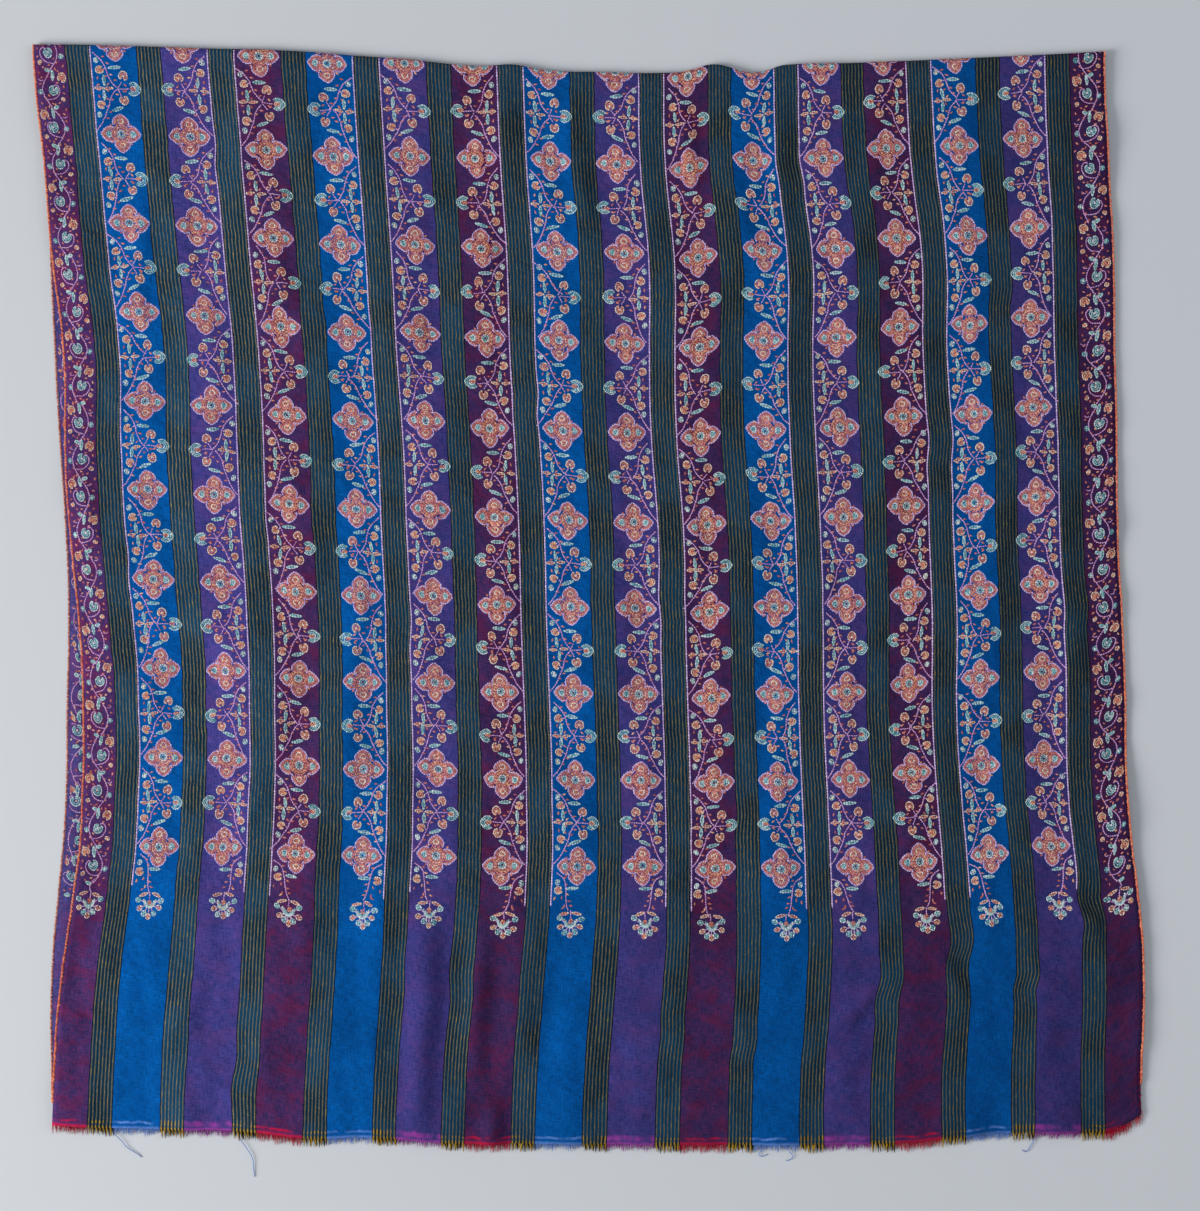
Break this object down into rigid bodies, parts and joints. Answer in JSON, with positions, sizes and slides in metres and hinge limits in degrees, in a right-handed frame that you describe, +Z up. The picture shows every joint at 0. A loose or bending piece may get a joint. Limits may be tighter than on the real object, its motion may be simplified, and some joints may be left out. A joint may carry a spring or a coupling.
{
  "type": "folded pashmina shawl",
  "caption": "Striped wool pashmina shawl with embroidered flowers, folded in half across its length and laid flat, fringed raw ends together.",
  "frame": {"origin": "on the surface the shawl lies on, under the middle of the folded shawl", "axes": "+X across the cloth towards its right selvedge, +Y along it from the fringed ends to the fold, +Z up"},
  "size_m": [1.0188, 1.0152, 0.0108],
  "materials": {
    "cloth_face": "matte",
    "cloth_reverse": "matte",
    "edging_yarn": "matte",
    "fringe_yarn": "matte",
    "embroidery_floss": "satin"
  },
  "bodies": {
    "root": {"upper_layer": "cloth_face", "under_layer": "cloth_reverse", "upper_edging_left": "edging_yarn", "upper_edging_right": "edging_yarn", "under_edging_left": "edging_yarn", "under_edging_right": "edging_yarn", "upper_fringe": "fringe_yarn", "under_fringe": "fringe_yarn"}
  },
  "joints": []
}
